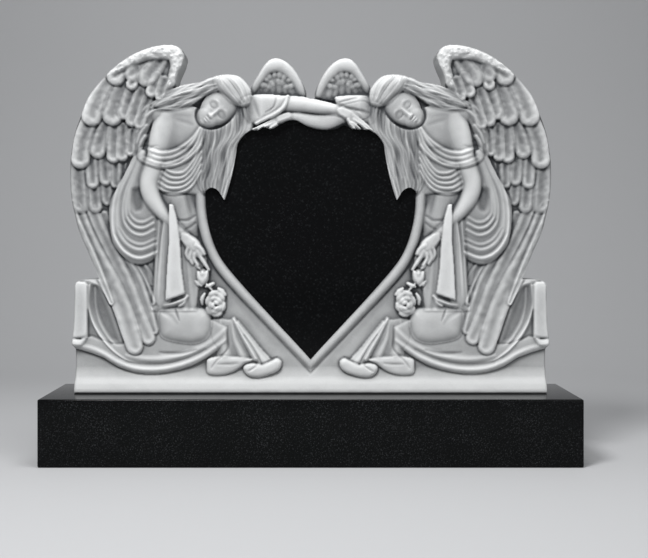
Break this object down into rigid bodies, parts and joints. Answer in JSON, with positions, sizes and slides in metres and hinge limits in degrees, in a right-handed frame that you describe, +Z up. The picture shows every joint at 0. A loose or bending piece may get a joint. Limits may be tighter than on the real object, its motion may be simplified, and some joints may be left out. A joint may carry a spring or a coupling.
{
  "type": "headstone",
  "caption": "Carved headstone: kneeling winged figures in relief lean over a polished black heart panel, standing on a plain black granite base block",
  "frame": {"origin": "centre of the underside of the base block", "axes": "+X to the right seen from the front, +Y towards the plain back, +Z up; the carved front faces -Y"},
  "size_m": [1.2, 0.25, 0.9451],
  "materials": {
    "black_granite": "polished",
    "pale_stone": "satin",
    "polished_panel": "polished"
  },
  "bodies": {
    "root": {"base": "black_granite", "stele": "pale_stone", "heart_panel": "polished_panel"}
  },
  "joints": []
}
